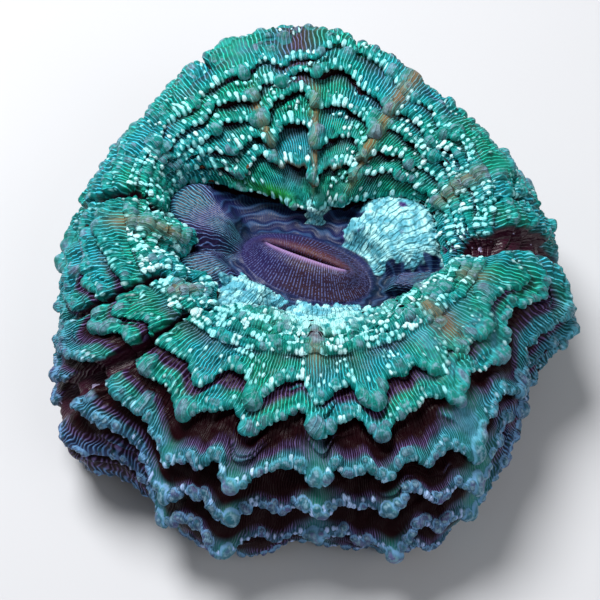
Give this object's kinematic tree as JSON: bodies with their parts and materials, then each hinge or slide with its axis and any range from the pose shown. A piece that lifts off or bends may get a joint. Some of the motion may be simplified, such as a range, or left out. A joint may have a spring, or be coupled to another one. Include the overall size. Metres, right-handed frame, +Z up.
{
  "type": "doughnut coral",
  "caption": "Large solitary fleshy coral polyp: a ring-shaped mantle in drooping folds and ledges round a sunken disc with a slit mouth, cut flat at the base to stand.",
  "frame": {"origin": "middle of the flat cut at the base, where the coral stands", "axes": "+Z up out of the flat base, -Y the front that the picture looks at, +X to its right"},
  "size_m": [0.1484, 0.1588, 0.0601],
  "materials": {
    "green_flesh": "moist satin flesh, teal green on the mantle and dark violet on the oral disc"
  },
  "bodies": {
    "root": {"doughnut_coral": "green_flesh"}
  },
  "joints": []
}
